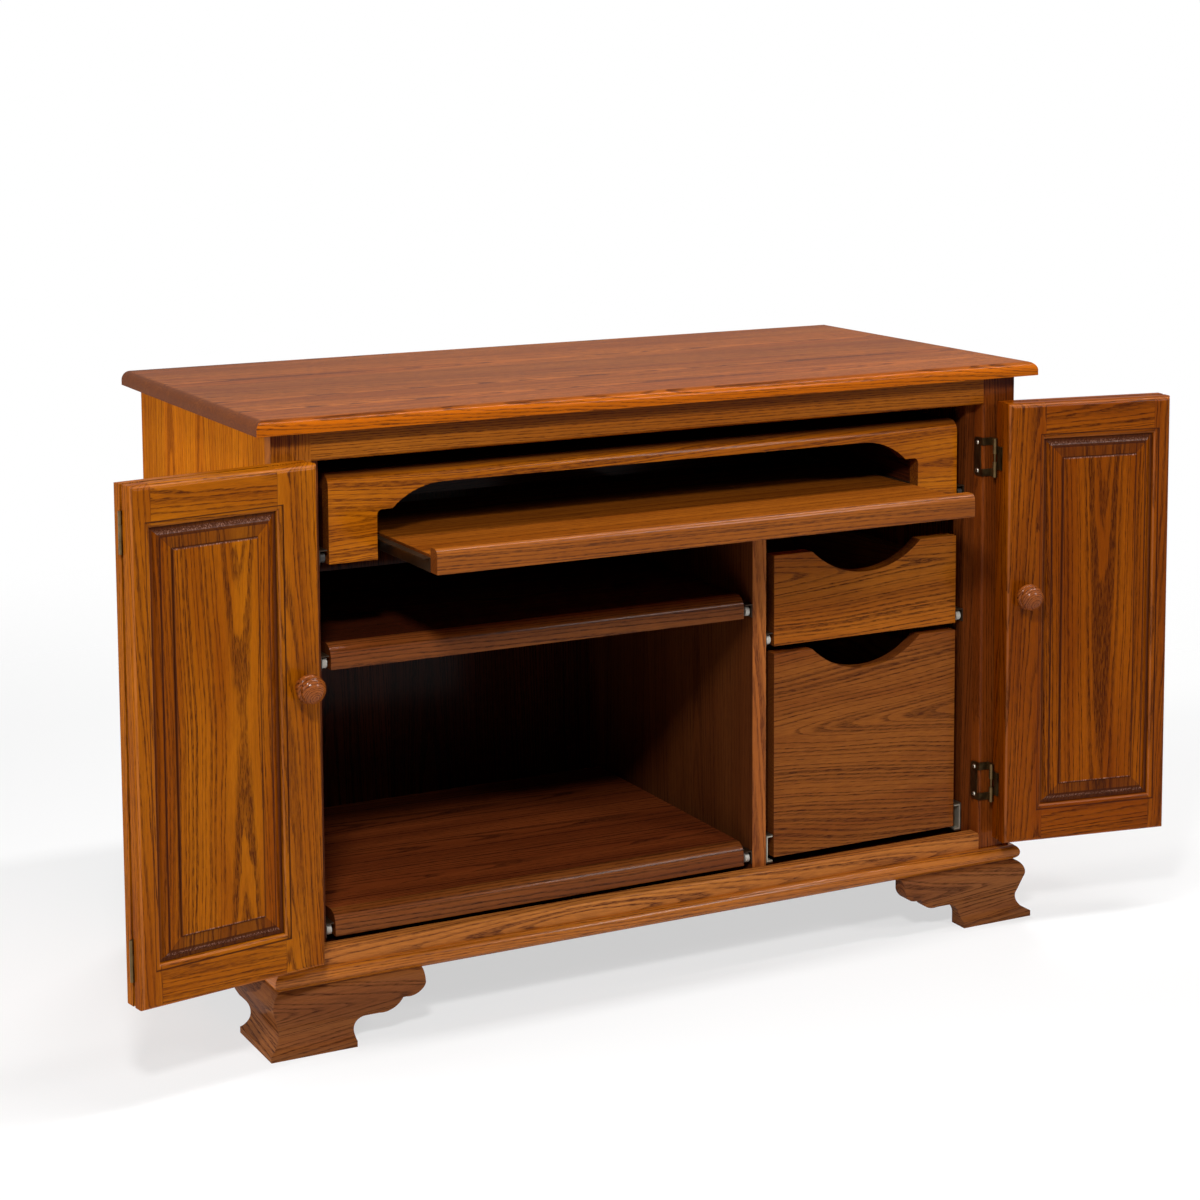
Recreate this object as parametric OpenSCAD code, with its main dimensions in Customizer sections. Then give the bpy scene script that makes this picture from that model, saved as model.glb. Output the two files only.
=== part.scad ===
/* [Desk] */
// Width of the top
desk_w = 1100; // [1000:1:1250]
// Depth of the top, front to back
desk_d = 518; // [470:1:600]
// Height of the top surface above the floor
desk_h = 762; // [735:1:790]
// Thickness of the top
top_t = 18; // [16:0.5:25]
// Radius of the round-over along the top's upper edge
top_round = 11.5; // [4:0.5:14]
// How far the top stands out in front of the case
top_over_front = 21; // [10:1:40]
// How far the top stands out past each side of the case
top_over_side = 24; // [12:1:40]
// How far the top stands out behind the case
top_over_back = 7; // [0:1:20]

/* [Case] */
// Height of the underside of the case above the floor
base_h = 78; // [65:1:95]
// Thickness of the side panels
side_t = 19; // [16:1:25]
// Thickness of the face frame
frame_t = 19; // [16:1:25]
// Width of the face frame's stiles
stile_w = 49.5; // [40:0.5:60]
// Height of the face frame's top rail
top_rail_h = 37; // [30:1:50]
// Height of the face frame's bottom rail
bottom_rail_h = 42; // [36:1:50]
// Radius of the eased edge round the opening
frame_ease = 4; // [1:0.5:6]
// Thickness of the bottom panel
bottom_t = 19; // [12:1:25]
// How far the bottom panel lies below the top of the bottom rail
bottom_step = 4; // [0:0.5:10]
// Thickness of the plywood back
back_t = 6; // [4:0.5:10]
// How far the back lies inside the rear edges of the sides
back_inset = 2; // [0:0.5:6]
// Thickness of the partition
partition_t = 20; // [16:1:25]
// Place of the partition's left face, to the right of the middle
partition_x = 132; // [80:1:180]
// Gap between the partition's top and the keyboard unit's runners
partition_gap = 6; // [3:0.5:15]
// Height of the rear stretcher under the top
stretcher_h = 44; // [30:1:70]
// Size of the cleats that hold the top to the sides
cleat = 20; // [15:1:30]

/* [Base] */
// Height of the half-round base moulding
moulding_h = 20; // [14:1:24]
// How far the base moulding stands out from the case
moulding_out = 11.5; // [8:0.5:16]
// Thickness of the flat strip behind its half round
moulding_flat = 5; // [3:0.5:8]
// How far the feet stand out from the case at the floor
foot_out = 22; // [15:1:30]
// Thickness of the foot brackets at the floor
foot_stock = 29; // [24:1:40]
// Width of each foot on the floor, from its outer corner
foot_leg = 109; // [90:1:130]
// Length of each bracket from the outer corner to the tip of its scroll
foot_wing = 201; // [180:1:215]
// Height of the square plinth at the bottom of each foot
foot_plinth = 7.5; // [5:0.5:12]
// How far the feet stand out at their waist, above the plinth
foot_waist = 7; // [3:0.5:10]
// Radius of the hollow between the plinth and the belly
foot_hollow_r = 19.5; // [16:0.5:24]
// How far the belly of the feet stands out
foot_belly_out = 16.5; // [12:0.5:20]
// Radius of the belly
foot_belly_r = 17; // [12:0.5:18]
// Distance from the underside of the case to the middle of the belly
foot_belly_drop = 16.5; // [14:0.5:26]
// Radius of the round notch beside each foot's leg
notch_r = 17; // [12:0.5:20]
// Distance from the underside of the case to the flat above that notch
scroll_drop = 47; // [40:0.5:50]
// Distance from the leg to the middle of the scroll's lobe
lobe_x = 39.5; // [34:0.5:44]
// Radius of that lobe
lobe_r = 26; // [20:0.5:30]
// Distance from the underside of the case to the tip of that lobe
lobe_drop = 47.5; // [44:0.5:50]
// Height of the straight part over the cusp behind that lobe
scroll_web = 31; // [24:0.5:36]
// Radius of the lobe at the end of the scroll
lobe_end_r = 20; // [15:0.5:24]
// Distance from the underside of the case to the tip of the last lobe
lobe_end_drop = 31.5; // [26:0.5:36]
// Height of the rear brackets beside the legs
rear_bracket_h = 30; // [24:1:40]
// Height of the rear brackets at their ends
rear_bracket_end = 18; // [12:1:24]
// Thickness of the plain rear brackets
rear_bracket_t = 19; // [14:1:25]
// Side of the glue block inside each foot
foot_block = 42; // [30:1:60]
// Height of those glue blocks' undersides above the floor
block_lift = 4; // [2:1:10]

/* [Slides] */
// Space between a pull-out part and the wall that carries it
slide_gap = 12.7; // [12.5:0.1:14]
// Width of the posts that carry the slides beside the case sides
post_w = 46; // [38:1:55]
// Thickness of those posts, front to back
post_t = 25; // [15:1:35]
// Thickness of the slides' steel
steel_t = 1.2; // [0.9:0.1:1.4]
// Radius of the nylon rollers
roller_r = 6.4; // [5.5:0.1:6.8]
// Width of the nylon rollers
roller_w = 6; // [4:0.5:6.5]
// Radius of the rivets that the rollers turn on
rivet_r = 2; // [1.5:0.1:2.5]
// Running clearance inside the slides
slide_play = 0.4; // [0.2:0.05:0.5]
// Height of the roller slides
runner_h = 17; // [16:0.5:20]
// Length of the slides of the shelves, drawers and keyboard unit
slide_len = 400; // [350:1:445]
// Space between the rear posts and the rear stretcher
post_gap = 53; // [20:1:80]
// Length of the keyboard tray's slides
tray_slide_len = 330; // [290:1:365]
// Height of the file drawer's full-extension slides
file_slide_h = 38; // [34:1:45]
// How far those slides reach below the file drawer
file_slide_drop = 7; // [3:0.5:7.5]
// Thickness of those slides' steel
file_t = 1.5; // [1.2:0.1:1.8]

/* [Keyboard unit] */
// Gap between the top rail and the keyboard unit
unit_gap = 21; // [10:1:30]
// Height of the apron, at its legs
apron_h = 107; // [95:1:115]
// Width of the apron's legs
leg_w = 62; // [50:1:75]
// Height of the arch above the bottom of the apron's legs
arch_h = 87.5; // [70:0.5:88]
// Height of the flat shoulder where the arch starts
arch_foot = 60.5; // [45:0.5:66]
// Distance from the legs to the straight middle of the arch
arch_ramp = 86; // [60:1:100]
// Width of the flat shoulder at each end of the arch
arch_ledge = 20; // [12:0.5:26]
// Radius of the round corner between leg and shoulder
arch_corner = 7; // [4:0.5:9]
// Thickness of the boards in the unit
board_t = 19; // [16:1:22]
// Depth of the shelf boards behind their nosings
board_d = 390; // [340:1:440]
// Gap between the pull-out fronts and the back of the face frame
front_gap = 0.5; // [0.3:0.1:3]
// Radius of the large round on the pull-out nosings
nosing_round = 16; // [8:0.5:17]
// Thickness of the nosings and drawer fronts
nosing_t = 19; // [17:1:22]
// Height of the nosings
nosing_h = 29.5; // [26:0.5:34]

/* [Keyboard tray] */
// How far the tray is pulled out of the apron
tray_out = 147; // [0:1:240]
// Depth of the tray with its lip
tray_d = 349; // [300:1:360]
// Height of the tray's underside above the bottom of the apron
tray_lift = 8; // [6:0.5:12]
// How far the tray's lip stands above its board
tray_lip = 9; // [4:0.5:14]
// How far the tray's lip hangs below its board
tray_lip_drop = 1.5; // [0:0.5:3]

/* [Shelves and drawers] */
// Height of the printer shelf's underside above the floor
printer_z = 451.5; // [400:0.5:470]
// Gap between the bottom rail and the bottom shelf
bottom_shelf_gap = 4.5; // [3:0.5:8]
// Gap between the bottom rail and the file drawer
file_gap = 9; // [8:0.5:12]
// Gap between the upper drawer and the keyboard unit
drawer_top_gap = 49.5; // [30:0.5:70]
// Gap between the two drawer fronts
drawer_gap = 10; // [4:0.5:16]
// Height of the upper drawer's front
upper_front_h = 119; // [90:0.5:125]
// Width of the hand scoop in each drawer front
scoop_w = 171; // [120:1:200]
// Depth of the hand scoop
scoop_d = 34.5; // [20:0.5:40]
// Radius of the scoop's shoulders
scoop_shoulder = 3; // [2:0.5:14]
// Thickness of the drawer sides
drawer_side_t = 12; // [10:0.5:15]
// Thickness of the drawer bottoms
drawer_bottom_t = 6; // [4:0.5:8]
// How far the drawer sides stop below the top of the front
drawer_step = 36; // [34:1:45]
// How far the drawer bottoms lie above the sides' lower edges
drawer_bottom_up = 8; // [4:0.5:12]

/* [Doors] */
// How far the closed doors lap over the face frame at the sides
lap_side = 7; // [4:0.5:9]
// How far the closed doors lap over the top rail
lap_top = 5; // [3:0.5:15]
// How far the closed doors lap over the bottom rail
lap_bottom = 4; // [2:0.5:10]
// Gap between the edges of the closed leaves
leaf_gap = 3; // [2:0.5:4]
// Thickness of the door leaves
leaf_t = 19; // [17:0.5:22]
// Radius of the round-over on the outer face of each leaf
leaf_round = 7; // [3:0.5:8]
// Space between the closed doors and the face frame
door_space = 2; // [1.5:0.1:3]
// How far the doors stand open, from closed
door_open = 170; // [90:1:175]
// Width of the stiles beside the cabinet hinges and knobs, with their bead
wide_stile = 54; // [46:0.5:62]
// Width of the stiles beside the fold, with their bead
narrow_stile = 25; // [22:0.5:34]
// Height of each leaf's top rail, with its bead
leaf_top_rail = 49.5; // [42:0.5:60]
// Height of each leaf's bottom rail, with its bead
leaf_bottom_rail = 50.5; // [42:0.5:64]
// Radius of the bead round each panel opening
bead_r = 6; // [3:0.5:6]
// Depth of the little step outside that bead
bead_step = 1; // [0.5:0.1:1]
// Thickness of the panels' tongues
tongue_t = 5; // [4:0.5:6]
// Depth of the grooves that hold the panels
groove_d = 8; // [6:0.5:10]
// Room for each panel to move in its grooves
panel_play = 0.5; // [0.2:0.1:1]
// Width of the moulded border of each panel
raise_w = 26; // [22:0.5:34]
// Distance from the frame's edge to the end of the border's roll
panel_roll = 11.5; // [10:0.5:14]
// Radius of that roll
panel_roll_r = 9; // [7:0.5:10]
// Height of the little step behind the roll
panel_fillet = 0.8; // [0.4:0.1:1.2]
// How far each panel's field lies below the frame's face
field_drop = 0.5; // [0:0.5:2]
// Height of the step round each panel's field
field_step = 2; // [1:0.5:2.5]
// Diameter of the knobs
knob_d = 35; // [28:1:40]
// Distance of the knobs from the edges of their leaves
knob_in = 25; // [22:0.5:28]
// Length of the knobs
knob_len = 34; // [30:1:38]
// Radius of the round rim behind each knob's face
knob_rim = 5; // [3:0.5:6]
// Width of the step between that rim and the face
knob_step = 1.5; // [0.5:0.5:3]
// Radius of the dome on each knob's face
knob_dome_r = 18; // [16:0.5:24]
// Height of the knobs above the lower edge of the doors
knob_z = 339; // [250:1:400]

/* [Hinges] */
// How far the cabinet hinge pins stand in front of the face frame
pin_out = 12; // [11:0.5:14]
// Distance from the cabinet hinge pins to the leaves' edges
pin_edge = 4; // [3.6:0.1:5]
// Radius of the hinge knuckles
knuckle_r = 3.2; // [2.6:0.1:3.4]
// Radius of the hinge pins
pin_r = 1.5; // [1:0.1:2]
// Height of the cabinet hinges
hinge_h = 52; // [44:1:60]
// Distance from the ends of the doors to the middle of the cabinet hinges
hinge_end = 76; // [60:1:110]
// Height of the end bars of the cabinet hinges
bar_h = 10; // [8:0.5:12]
// Radius of the cabinet hinge plates' round corners
plate_r = 5; // [2:0.5:6]
// Height of the leaf knuckles of the cabinet hinges
leaf_knuckle_h = 10; // [7:0.5:11]
// How far the cabinet hinges' straps reach over the leaves' inner faces
leaf_strap = 16; // [10:0.5:22]
// Thickness of the hinges' brass
brass_t = 1.2; // [0.8:0.1:1.4]
// Height of the fold hinges
fold_h = 49; // [40:1:60]
// Distance from the ends of the doors to the middle of the fold hinges
fold_end = 54; // [45:1:100]
// Radius of the fold hinges' knuckles
fold_r = 2.4; // [1.8:0.1:2.4]
// Space between the folded leaves
fold_space = 5; // [5:0.1:6]
// Width of the fold hinges' wings
fold_wing = 14; // [10:1:18]

/* [Hidden] */
$fn = 48;
// a hair that lets cutters pass through faces
eps = 0.5;

// case outline, with y = 0 at the front of the face frame
case_w = desk_w - 2 * top_over_side;
case_d = desk_d - top_over_front - top_over_back;
case_top = desk_h - top_t;
inner_x = case_w / 2 - side_t;
open_w = case_w - 2 * stile_w;
open_top = case_top - top_rail_h;
open_bottom = base_h + bottom_rail_h;
floor_z = open_bottom - bottom_step;
back_y = case_d - back_inset - back_t;
post_x = inner_x - post_w;
rear_post_y = back_y - side_t - post_gap - post_t;
front_y = frame_t + front_gap;

// pull-out parts
unit_x = post_x - slide_gap;
unit_top_z = open_top - unit_gap;
unit_z = unit_top_z - apron_h;
arch_x = unit_x - leg_w;
tray_x = arch_x - slide_gap;
tray_z = unit_z + tray_lift;
tray_y = front_y - tray_out;
shelf_x0 = -post_x + slide_gap;
shelf_x1 = partition_x - slide_gap;
bottom_shelf_z = open_bottom + bottom_shelf_gap;
drawer_x0 = partition_x + partition_t + slide_gap;
drawer_x1 = post_x - slide_gap;
file_z = open_bottom + file_gap;
upper_z = unit_z - drawer_top_gap - upper_front_h;
file_front_h = upper_z - drawer_gap - file_z;
file_slide_z = file_z - file_slide_drop;
partition_top = unit_z - steel_t - partition_gap;

// doors
pin_x = open_w / 2 + lap_side + pin_edge;
leaf_w = (open_w + 2 * lap_side - 3 * leaf_gap) / 4;
leaf_z = open_bottom - lap_bottom;
leaf_h = open_top + lap_top - leaf_z;
door_tilt = 180 - door_open;
inner_face = pin_out - door_space;
fold_x = pin_edge + leaf_w + leaf_gap / 2;
fold_y = inner_face + fold_space / 2;
panel_x0 = wide_stile - groove_d + panel_play;
panel_x1 = leaf_w - narrow_stile + groove_d - panel_play;
panel_z0 = leaf_bottom_rail - groove_d + panel_play;
panel_z1 = leaf_h - leaf_top_rail + groove_d - panel_play;
tongue_y = (leaf_t - tongue_t) / 2;

// the part's own origin: the middle of its footprint at rest, on the floor
rest_front = max(tray_out - front_y, 0);
rest_back = desk_d - top_over_front;
middle_y = (rest_back - rest_front) / 2;

oak = [0.62, 0.34, 0.14];
oak_dark = [0.5, 0.26, 0.11];
oak_light = [0.7, 0.42, 0.19];
oak_ply = [0.45, 0.24, 0.12];
cream = [0.85, 0.82, 0.74];
nylon = [0.95, 0.95, 0.93];
brass = [0.32, 0.24, 0.14];
steel = [0.72, 0.72, 0.7];

module placed() {
    translate([0, -middle_y, 0]) children();
}

module block(x0, x1, y0, y1, z0, z1) {
    translate([x0, y0, z0]) cube([x1 - x0, y1 - y0, z1 - z0]);
}

// drawing plane y, z swept along x
module sweep_x(x0, x1) {
    translate([x0, 0, 0]) rotate([90, 0, 90]) linear_extrude(x1 - x0) children();
}

// drawing plane x, z swept along y
module sweep_y(y0, y1) {
    translate([0, y1, 0]) rotate([90, 0, 0]) linear_extrude(y1 - y0) children();
}

// a corner notch outside a quarter circle, for rounding the corner at the origin
module corner_waste(r, sx, sy) {
    scale([sx, sy]) difference() {
        translate([-eps, -eps]) square(r + eps);
        translate([r, r]) circle(r);
    }
}

// Case

module top_blank_xz() {
    difference() {
        translate([-desk_w / 2, case_top]) square([desk_w, top_t]);
        translate([-desk_w / 2, desk_h]) corner_waste(top_round, 1, -1);
        translate([desk_w / 2, desk_h]) corner_waste(top_round, -1, -1);
    }
}

module top_blank_yz() {
    difference() {
        translate([-top_over_front, case_top]) square([desk_d, top_t]);
        translate([-top_over_front, desk_h]) corner_waste(top_round, 1, -1);
    }
}

module top_panel() {
    color(oak) placed() intersection() {
        sweep_y(-top_over_front, desk_d - top_over_front) top_blank_xz();
        sweep_x(-desk_w / 2, desk_w / 2) top_blank_yz();
    }
}

module side_panel() {
    block(inner_x, case_w / 2, frame_t, case_d, base_h, case_top);
}

module left_side() {
    color(oak_light) placed() mirror([1, 0, 0]) side_panel();
}

module right_side() {
    color(oak_light) placed() side_panel();
}

module back_panel() {
    color(oak_ply) placed() block(-inner_x, inner_x, back_y, back_y + back_t, base_h, case_top);
}

module bottom_panel() {
    color(oak_ply) placed() block(-inner_x, inner_x, frame_t, back_y, floor_z - bottom_t, floor_z);
}

module partition() {
    color(oak) placed()
        block(partition_x, partition_x + partition_t, frame_t, back_y, floor_z, partition_top);
}

module frame_stile() {
    difference() {
        block(open_w / 2, case_w / 2, 0, frame_t, base_h, case_top);
        translate([open_w / 2, 0, open_bottom]) linear_extrude(open_top - open_bottom)
            corner_waste(frame_ease, 1, 1);
    }
}

module left_stile() {
    color(oak) placed() mirror([1, 0, 0]) frame_stile();
}

module right_stile() {
    color(oak) placed() frame_stile();
}

module top_rail() {
    color(oak) placed() sweep_x(-open_w / 2, open_w / 2) difference() {
        translate([0, open_top]) square([frame_t, top_rail_h]);
        translate([0, open_top]) corner_waste(frame_ease, 1, 1);
    }
}

module bottom_rail() {
    color(oak) placed() sweep_x(-open_w / 2, open_w / 2) difference() {
        translate([0, base_h]) square([frame_t, bottom_rail_h]);
        translate([0, open_bottom]) corner_waste(frame_ease, 1, -1);
    }
}

module rear_stretcher() {
    color(oak_ply) placed()
        block(-inner_x, inner_x, back_y - side_t, back_y, case_top - stretcher_h, case_top);
}

module top_cleats() {
    color(oak_ply) placed() for (side = [0, 1]) mirror([side, 0, 0])
        block(inner_x - cleat, inner_x, frame_t + post_t, rear_post_y, case_top - cleat, case_top);
}

module slide_posts() {
    color(oak_dark) placed() for (side = [0, 1]) mirror([side, 0, 0]) {
        block(post_x, inner_x, frame_t, frame_t + post_t, floor_z, case_top);
        block(post_x, inner_x, rear_post_y, rear_post_y + post_t, floor_z, case_top);
    }
}

// Base

// half-round section: x outwards from the case, y up from the moulding's underside
module moulding_section() {
    half = moulding_h / 2;
    square([moulding_flat, moulding_h]);
    intersection() {
        translate([moulding_out - half, half]) circle(half);
        square([moulding_out, moulding_h]);
    }
}

// plan of the front strip with its two mitres, and of the right side strip
module front_strip_plan() {
    c = case_w / 2;
    m = c + moulding_out;
    polygon([[-c, 0], [c, 0], [m, -moulding_out], [-m, -moulding_out]]);
}

module side_strip_plan() {
    c = case_w / 2;
    polygon([[c, 0], [c, case_d], [c + moulding_out, case_d], [c + moulding_out, -moulding_out]]);
}

module base_moulding() {
    color(oak) placed() {
        intersection() {
            sweep_x(-desk_w, desk_w) translate([0, base_h]) mirror([1, 0]) moulding_section();
            translate([0, 0, base_h]) linear_extrude(moulding_h) front_strip_plan();
        }
        for (side = [0, 1]) mirror([side, 0, 0]) intersection() {
            sweep_y(-moulding_out, case_d) translate([case_w / 2, base_h]) moulding_section();
            translate([0, 0, base_h]) linear_extrude(moulding_h) side_strip_plan();
        }
    }
}

// ogee section of a bracket: x outwards from the case face, y up from the floor; the belly and
// the hollow are joined by the straight line that touches both
module ogee_section() {
    back = foot_out - foot_stock;
    inset = 0.15;
    beyond = foot_waist + foot_hollow_r - foot_out;
    hollow = [foot_out + beyond, foot_plinth + sqrt(pow(foot_hollow_r, 2) - pow(beyond, 2))];
    belly = [foot_belly_out - foot_belly_r, base_h - foot_belly_drop];
    across = hollow - belly;
    lean = acos(min(1, (foot_belly_r + foot_hollow_r) / norm(across)));
    turn = atan2(across[1], across[0]) + lean;
    aim = [cos(turn), sin(turn)];
    low = hollow - aim * (foot_hollow_r - inset);
    high = belly + aim * (foot_belly_r - inset);
    difference() {
        union() {
            translate([back, 0]) square([belly[0] - back, base_h]);
            polygon([[back, 0], [foot_out, 0], [foot_out, foot_plinth + 1], low, high, [back, high[1]]]);
            intersection() {
                translate(belly) circle(foot_belly_r);
                translate([back, 0]) square([foot_stock, base_h]);
            }
        }
        translate(hollow) circle(foot_hollow_r);
    }
}

// outline of a bracket seen from its face: x from the outer corner, y up
module scroll_outline() {
    x_lobe = foot_leg + lobe_x;
    x_end = foot_wing - lobe_end_r + eps;
    flat = base_h - scroll_drop;
    end_z = base_h - lobe_end_drop + lobe_end_r;
    intersection() {
        square([foot_wing, base_h]);
        union() {
            difference() {
                square([x_lobe, base_h]);
                difference() {
                    translate([foot_leg, -eps]) square([foot_wing, flat + eps]);
                    translate([foot_leg, flat]) corner_waste(notch_r, 1, -1);
                }
            }
            translate([x_lobe, base_h - lobe_drop + lobe_r]) circle(lobe_r);
            translate([0, base_h - scroll_web]) square([x_end, scroll_web]);
            translate([x_end, end_z]) circle(lobe_end_r);
            translate([0, end_z]) square([foot_wing, base_h - end_z]);
        }
    }
}

// front bracket of the right-hand foot, with its mitred outer corner at the case corner
module ogee_bracket() {
    c = case_w / 2;
    back = foot_stock - foot_out;
    intersection() {
        sweep_x(c - foot_wing, c + foot_out) mirror([1, 0]) ogee_section();
        sweep_y(-foot_out, back) translate([c + foot_out, 0]) mirror([1, 0]) scroll_outline();
        linear_extrude(base_h)
            polygon([[c + foot_out, -foot_out], [c - back, back], [c - foot_wing, back],
                     [c - foot_wing, -foot_out]]);
    }
}

module corner_block(x, y) {
    block(x - foot_block, x, y, y + foot_block, block_lift, base_h);
}

// right front foot: the front bracket, the same bracket turned to the side, and a glue block
module front_foot() {
    c = case_w / 2;
    back = foot_stock - foot_out;
    ogee_bracket();
    translate([c, 0, 0]) rotate([0, 0, 90]) mirror([1, 0, 0]) translate([-c, 0, 0]) ogee_bracket();
    corner_block(c - back, back);
}

// right rear foot: an ogee bracket along the side and a plain bracket across the back
module rear_foot() {
    c = case_w / 2;
    back = foot_stock - foot_out;
    intersection() {
        sweep_y(case_d - foot_wing, case_d) translate([c, 0]) ogee_section();
        sweep_x(c - back, c + foot_out) translate([case_d, 0]) mirror([1, 0]) scroll_outline();
    }
    leg = foot_leg - foot_stock;
    wing = foot_wing - foot_stock;
    sweep_y(case_d - rear_bracket_t, case_d) translate([c - back, 0]) mirror([1, 0])
        polygon([[0, 0], [leg, 0], [foot_leg, base_h - rear_bracket_h],
                 [wing, base_h - rear_bracket_end], [wing, base_h], [0, base_h]]);
    corner_block(c - back, case_d - rear_bracket_t - foot_block);
}

module front_left_foot() {
    color(oak_dark) placed() mirror([1, 0, 0]) front_foot();
}

module front_right_foot() {
    color(oak_dark) placed() front_foot();
}

module rear_left_foot() {
    color(oak_dark) placed() mirror([1, 0, 0]) rear_foot();
}

module rear_right_foot() {
    color(oak_dark) placed() rear_foot();
}

// Roller slides. Each is drawn for a wall on the right; z is the underside of what it carries.

roller_z = runner_h - 2 * steel_t - slide_play / 4 - roller_r;

module roller(x, y, z) {
    translate([x, y, z + roller_z]) rotate([0, 90, 0]) difference() {
        cylinder(h = roller_w, r = roller_r);
        translate([0, 0, -eps]) cylinder(h = roller_w + 2 * eps, r = rivet_r + 0.05);
    }
}

module rivet(x0, x1, y, z) {
    translate([x0, y, z + roller_z]) rotate([0, 90, 0]) cylinder(h = x1 - x0, r = rivet_r);
}

// fixed channel on the wall, from y0 back
module track(wall, z, y0, len) {
    lip = slide_gap - steel_t - 1;
    low = z + roller_z - roller_r - slide_play / 4;
    high = z + runner_h - steel_t + slide_play * 2;
    block(wall - steel_t, wall, y0, y0 + len, low - steel_t, high + steel_t);
    block(wall - lip, wall, y0, y0 + len, high, high + steel_t);
    block(wall - lip, wall, y0 + 3 * roller_r, y0 + len, low - steel_t, low);
    rivet(wall - steel_t - roller_w - 2, wall - steel_t / 2, y0 + roller_r + 2, z);
}

module track_roller(wall, z, y0) {
    roller(wall - steel_t - roller_w - 1.4, y0 + roller_r + 2, z);
}

// moving runner on the side of what slides, with its roller at the rear
module runner(side, z, y0, len) {
    y_roller = y0 + len - roller_r - 1;
    block(side, side + steel_t, y0, y0 + len, z - steel_t, z + runner_h - steel_t);
    block(side - 10, side + steel_t, y0, y0 + len, z - steel_t, z);
    block(side, side + slide_gap - 3, y0, y0 + len, z + runner_h - 2 * steel_t, z + runner_h - steel_t);
    rivet(side + steel_t / 2, side + steel_t + roller_w + 1.6, y_roller, z);
    roller(side + steel_t + 1, y_roller, z);
}

// a pair of tracks or runners between a left and a right wall
module both(x_left, x_right) {
    translate([x_right, 0, 0]) children();
    translate([x_left, 0, 0]) mirror([1, 0, 0]) children();
}

module roller_tracks() {
    color(cream) placed() {
        both(-post_x, post_x) track(0, unit_z, front_y, slide_len);
        both(-post_x, partition_x) track(0, printer_z, front_y, slide_len);
        both(-post_x, partition_x) track(0, bottom_shelf_z, front_y, slide_len);
        both(partition_x + partition_t, post_x) track(0, upper_z, front_y, slide_len);
    }
}

module cabinet_rollers() {
    color(nylon) placed() {
        both(-post_x, post_x) track_roller(0, unit_z, front_y);
        both(-post_x, partition_x) track_roller(0, printer_z, front_y);
        both(-post_x, partition_x) track_roller(0, bottom_shelf_z, front_y);
        both(partition_x + partition_t, post_x) track_roller(0, upper_z, front_y);
    }
}

// File drawer's full-extension slides: a channel on the wall, a middle channel and a bar

module channel(x, deep, z0, z1, y0, len) {
    block(x - file_t, x, y0, y0 + len, z0, z1);
    block(x - deep, x, y0, y0 + len, z0, z0 + file_t);
    block(x - deep, x, y0, y0 + len, z1 - file_t, z1);
}

module file_tracks() {
    color(cream) placed() both(partition_x + partition_t, post_x)
        channel(0, slide_gap - 2, file_slide_z, file_slide_z + file_slide_h, front_y, slide_len);
}

module file_slide_middles() {
    step = file_t + slide_play;
    color(cream) placed() both(partition_x + partition_t, post_x)
        channel(-step, slide_gap - 2 - step, file_slide_z + step, file_slide_z + file_slide_h - step,
                front_y, slide_len);
}

module file_drawer_members() {
    step = 2 * (file_t + slide_play);
    color(cream) placed() both(partition_x + partition_t, post_x) mirror([1, 0, 0])
        channel(slide_gap, slide_gap - step, file_slide_z + step, file_slide_z + file_slide_h - step,
                front_y + nosing_t, slide_len - nosing_t);
}

// Keyboard unit: a pull-out work surface with an arched apron, and the tray inside it

module nosing_section(y, z, h, r) {
    difference() {
        translate([y, z]) square([nosing_t, h]);
        translate([y, z + h]) corner_waste(r, 1, -1);
    }
}

module unit_top() {
    color(oak) placed() block(-unit_x, unit_x, front_y + nosing_t, front_y + nosing_t + board_d,
                              unit_top_z - board_t, unit_top_z);
}

// half of the arch's empty shape, to the right of the middle: an arc from the straight middle
// down to the flat shoulder
module arch_half() {
    x_flat = arch_x - arch_ramp;
    reach = arch_ramp - arch_ledge;
    rise = arch_h - arch_foot;
    arc_r = (reach * reach + rise * rise) / (2 * rise);
    translate([-eps, -eps]) square([arch_x + eps, arch_foot - arch_corner + eps]);
    translate([-eps, 0]) square([arch_x - arch_corner, arch_foot]);
    translate([arch_x - arch_corner, arch_foot - arch_corner]) circle(arch_corner);
    difference() {
        translate([-eps, 0]) square([x_flat + reach + 2 * eps, arch_h]);
        difference() {
            translate([x_flat, arch_foot - 1]) square([reach + 2, rise + 1 + eps]);
            translate([x_flat, arch_h - arc_r]) circle(arc_r, $fn = 96);
        }
    }
}

module unit_apron() {
    color(oak) placed() intersection() {
        sweep_x(-unit_x, unit_x) nosing_section(front_y, unit_z, apron_h, nosing_round);
        sweep_y(front_y - eps, front_y + nosing_t + eps) difference() {
            translate([-unit_x, unit_z]) square([2 * unit_x, apron_h]);
            translate([0, unit_z]) arch_half();
            translate([0, unit_z]) mirror([1, 0]) arch_half();
        }
    }
}

// outer sides carry the unit on its slides, inner sides carry the tray's slides
module unit_sides() {
    y0 = front_y + nosing_t;
    color(oak_dark) placed() for (side = [0, 1]) mirror([side, 0, 0]) {
        block(unit_x - board_t, unit_x, y0, y0 + board_d - board_t, unit_z, unit_top_z - board_t);
        block(arch_x, arch_x + board_t, y0, y0 + board_d - board_t, unit_z, unit_top_z - board_t);
    }
}

module unit_back() {
    y1 = front_y + nosing_t + board_d;
    color(oak_dark) placed() block(-unit_x, unit_x, y1 - board_t, y1, unit_z, unit_top_z - board_t);
}

module unit_slides() {
    y0 = front_y + nosing_t;
    color(cream) placed() {
        both(-unit_x, unit_x) runner(0, unit_z, y0, slide_len - nosing_t);
        both(-arch_x, arch_x) track(0, tray_z, y0, tray_slide_len);
    }
}

module unit_rollers() {
    color(nylon) placed() both(-arch_x, arch_x) track_roller(0, tray_z, front_y + nosing_t);
}

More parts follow.
